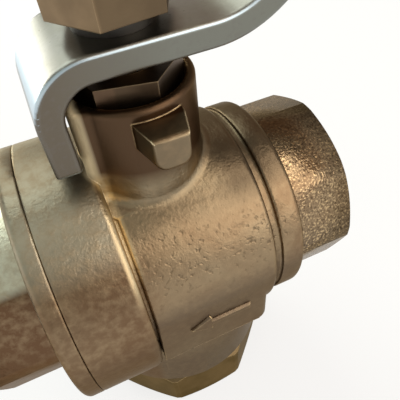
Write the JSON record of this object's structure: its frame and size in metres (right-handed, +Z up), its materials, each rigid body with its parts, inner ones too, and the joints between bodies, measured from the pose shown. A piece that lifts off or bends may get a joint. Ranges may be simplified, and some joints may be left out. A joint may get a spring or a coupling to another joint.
{
  "type": "ball valve with magnetic filter",
  "caption": "Brass ball valve with octagonal threaded ends, a steel lever, and a bottom cap that carries a filter cartridge with a magnet inside the ball.",
  "frame": {"origin": "centre of the filter cap's flat bottom face", "axes": "+X along the flow axis towards the cast threaded end, +Z up along the stem"},
  "size_m": [0.1788, 0.0584, 0.123],
  "materials": {
    "cast_brass": "sandblasted casting",
    "turned_brass": "machined satin",
    "lever_steel": "zinc plated",
    "plated_ball": "polished",
    "white_seal": "smooth",
    "black_rubber": "matte",
    "stainless": "drawn",
    "magnet": "plated",
    "cage_plastic": "moulded"
  },
  "bodies": {
    "valve": {"valve_body": "cast_brass", "end_connector": "cast_brass", "connector_gasket": "white_seal", "seat_ring_inlet": "white_seal", "seat_ring_outlet": "white_seal", "thrust_washer": "white_seal", "packing_ring_lower": "white_seal", "packing_ring_upper": "white_seal", "gland_nut": "turned_brass"},
    "lever_train": {"lever": "lever_steel", "lever_washer": "lever_steel", "lever_nut": "turned_brass", "stem": "turned_brass", "ball": "plated_ball"},
    "cartridge": {"filter_cap": "turned_brass", "cap_o_ring": "black_rubber", "magnet_sleeve": "stainless", "magnet": "magnet", "filter_cage": "cage_plastic", "filter_mesh": "stainless"}
  },
  "joints": [
    {"name": "lever_turn", "type": "hinge", "parent": "valve", "child": "lever_train", "pos_m": [0, 0, 0.0505], "axis": [0, 0, 1], "range_deg": [-90, 0]},
    {"name": "cap_pull", "type": "slide", "parent": "valve", "child": "cartridge", "axis": [0, 0, -1], "range_m": [0, 0.05]}
  ]
}
